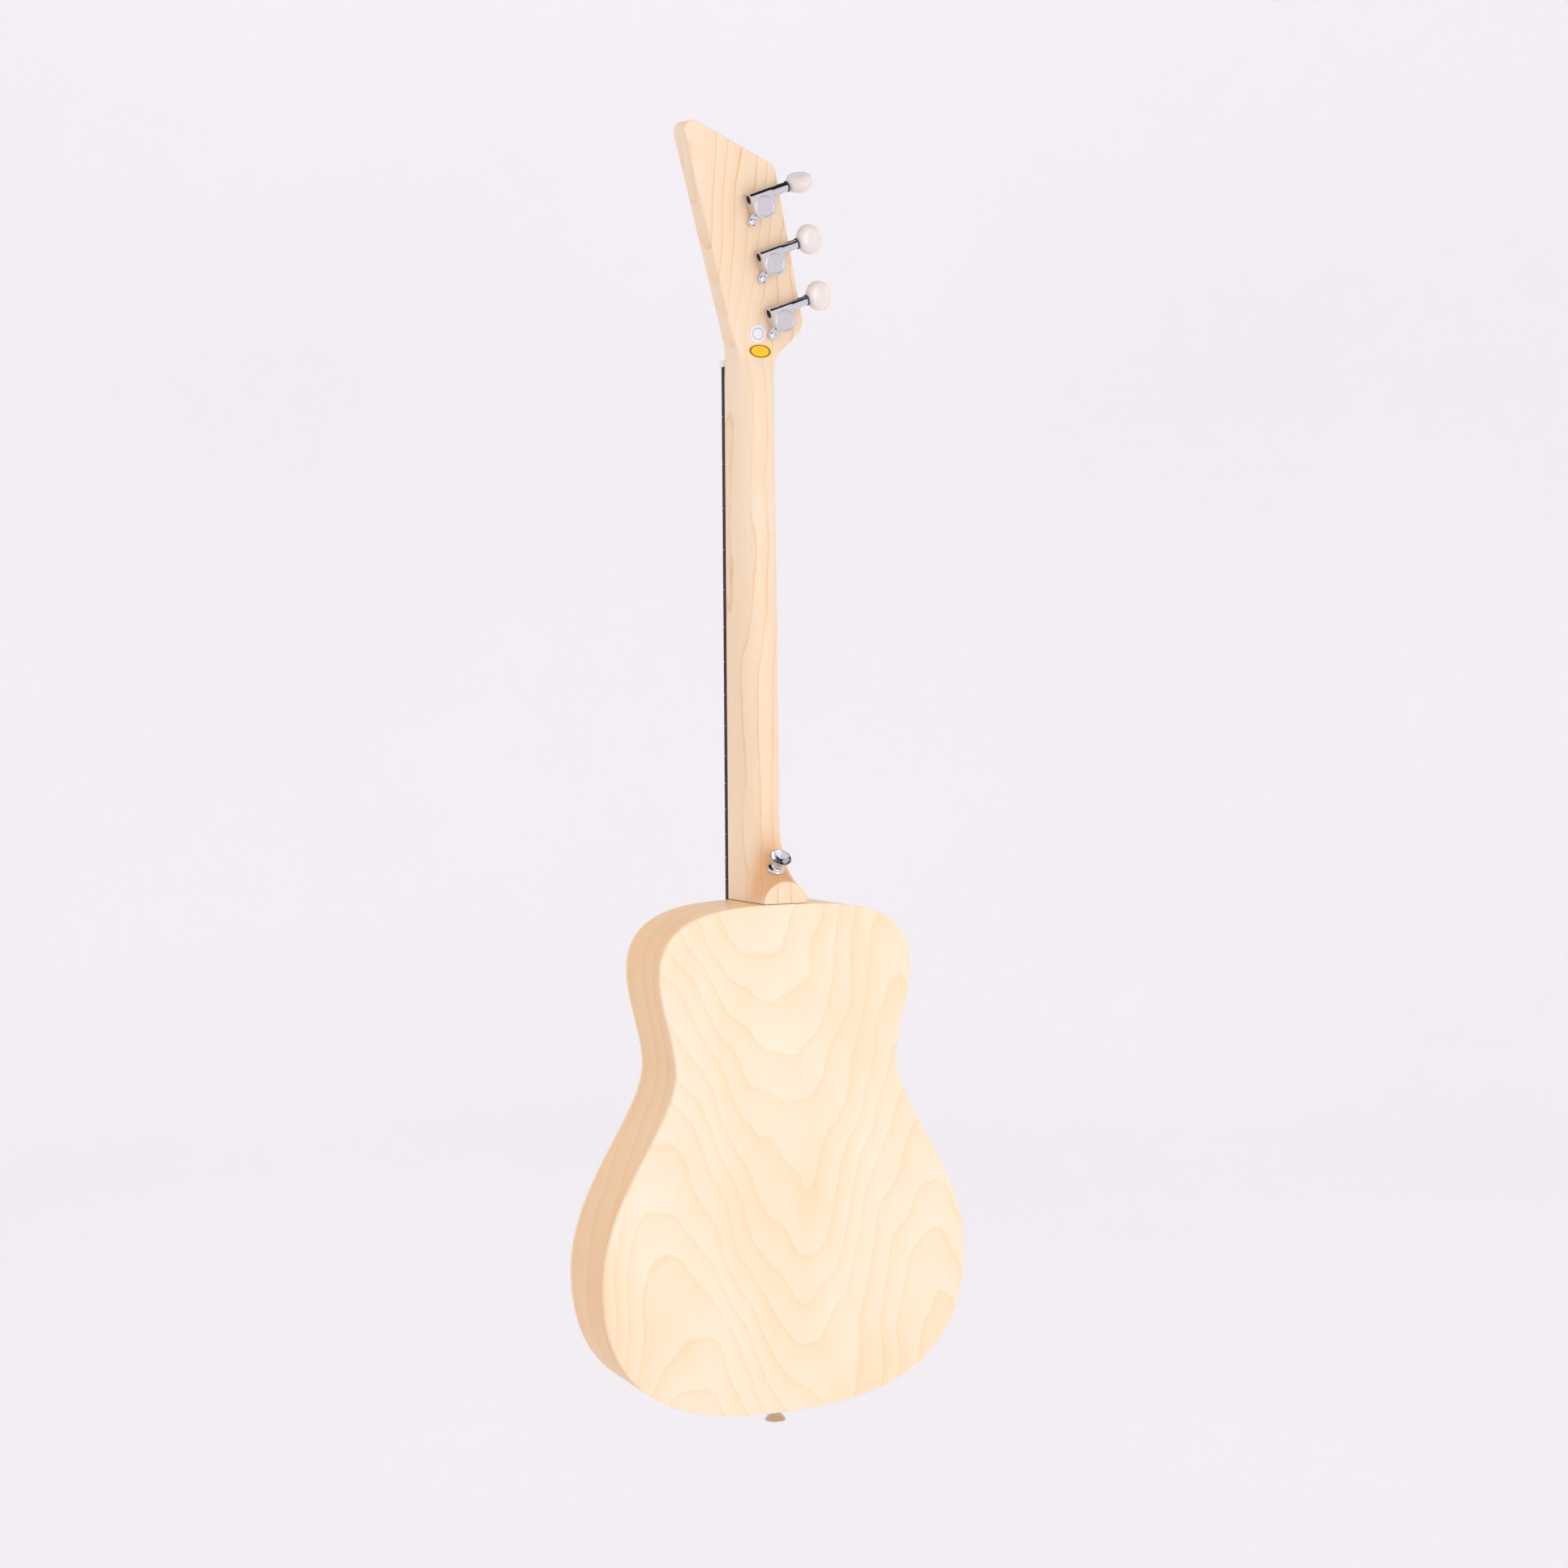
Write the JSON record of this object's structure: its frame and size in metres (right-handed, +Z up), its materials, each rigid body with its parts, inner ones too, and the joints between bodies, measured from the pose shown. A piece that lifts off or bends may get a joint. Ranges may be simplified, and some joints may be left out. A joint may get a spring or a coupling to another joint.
{
  "type": "acoustic guitar",
  "caption": "Small short-scale steel-string acoustic guitar with a waisted flat body, straight fretted neck, swept headstock, enclosed worm-gear tuners in a line and strap buttons.",
  "frame": {"origin": "seat of the end button, on the tail of the body", "axes": "+Z runs up the neck, -Y faces the soundboard and strings, +Y faces the back, +X is the treble side, -X the bass side with the tuner knobs"},
  "size_m": [0.234, 0.0622, 0.7584],
  "materials": {
    "top_wood": "satin clear lacquer",
    "back_wood": "satin clear lacquer",
    "side_wood": "satin clear lacquer",
    "neck_wood": "satin clear lacquer",
    "inner_wood": "bare sanded",
    "rosewood": "oiled",
    "bone": "satin",
    "pearl": "pearly",
    "knob_plastic": "polished, faintly pearly",
    "fret_steel": "polished",
    "steel": "plated",
    "chrome": "mirror",
    "brass": "turned",
    "plain_string": "drawn wire",
    "wound_string": "wound wire",
    "dark_washer": "satin",
    "white_label": "coated paper",
    "yellow_label": "coated paper"
  },
  "bodies": {
    "guitar": {"soundboard": "top_wood", "back_plate": "back_wood", "side_bass": "side_wood", "side_treble": "side_wood", "neck_block": "inner_wood", "tail_block": "inner_wood", "top_linings": "inner_wood", "back_linings": "inner_wood", "x_brace_bass": "inner_wood", "x_brace_treble": "inner_wood", "top_cross_braces": "inner_wood", "bridge_plate": "inner_wood", "back_braces": "inner_wood", "rosette": "rosewood", "neck": "neck_wood", "fingerboard": "rosewood", "frets": "fret_steel", "nut": "bone", "position_dots": "pearl", "truss_rod": "steel", "neck_bolts": "steel", "neck_inserts": "brass", "bridge": "rosewood", "saddle": "bone", "bridge_pins": "bone", "string_ball_ends": "brass", "tuner_covers": "chrome", "post_bushings": "chrome", "post_washers": "chrome", "shaft_washers": "dark_washer", "tuner_screws": "chrome", "strap_buttons": "chrome", "strap_screws": "steel", "inspection_sticker": "white_label", "origin_sticker": "yellow_label", "string_1": "plain_string", "string_2": "plain_string", "string_3": "wound_string", "tuner_housing_1": "chrome", "tuner_housing_2": "chrome", "tuner_housing_3": "chrome"},
    "knob_1": {"worm_shaft_1": "steel", "tuner_knob_1": "knob_plastic", "knob_screw_1": "chrome"},
    "post_1": {"worm_gear_1": "brass", "string_post_1": "chrome", "string_winding_1": "plain_string"},
    "knob_2": {"worm_shaft_2": "steel", "tuner_knob_2": "knob_plastic", "knob_screw_2": "chrome"},
    "post_2": {"worm_gear_2": "brass", "string_post_2": "chrome", "string_winding_2": "plain_string"},
    "knob_3": {"worm_shaft_3": "steel", "tuner_knob_3": "knob_plastic", "knob_screw_3": "chrome"},
    "post_3": {"worm_gear_3": "brass", "string_post_3": "chrome", "string_winding_3": "wound_string"},
    "truss_nut": {"truss_rod_nut": "brass"}
  },
  "joints": [
    {"name": "knob_1_turn", "type": "hinge", "parent": "guitar", "child": "knob_1", "pos_m": [0.00733, 0.00505, 0.70572], "axis": [-0.9272, 0.0554, 0.3705], "continuous": true},
    {"name": "post_1_turn", "type": "hinge", "parent": "guitar", "child": "post_1", "pos_m": [0.00508, -0.00112, 0.70102], "axis": [0, 0.989, -0.1478], "continuous": true},
    {"name": "knob_2_turn", "type": "hinge", "parent": "guitar", "child": "knob_2", "pos_m": [-0.00121, 0.00033, 0.67419], "axis": [-0.9272, 0.0554, 0.3705], "continuous": true},
    {"name": "post_2_turn", "type": "hinge", "parent": "guitar", "child": "post_2", "pos_m": [-0.00346, -0.00583, 0.66949], "axis": [0, 0.989, -0.1478], "continuous": true},
    {"name": "knob_3_turn", "type": "hinge", "parent": "guitar", "child": "knob_3", "pos_m": [-0.00975, -0.00438, 0.64267], "axis": [-0.9272, 0.0554, 0.3705], "continuous": true},
    {"name": "post_3_turn", "type": "hinge", "parent": "guitar", "child": "post_3", "pos_m": [-0.012, -0.01054, 0.63796], "axis": [0, 0.989, -0.1478], "continuous": true},
    {"name": "truss_nut_turn", "type": "hinge", "parent": "guitar", "child": "truss_nut", "pos_m": [0, -0.0225, 0.284], "axis": [0, 0, 1], "range_deg": [-180, 180]}
  ],
  "couplings": [
    {"joint": "post_1_turn", "follows": "knob_1_turn", "ratio": 0.071429},
    {"joint": "post_2_turn", "follows": "knob_2_turn", "ratio": 0.071429},
    {"joint": "post_3_turn", "follows": "knob_3_turn", "ratio": 0.071429}
  ]
}
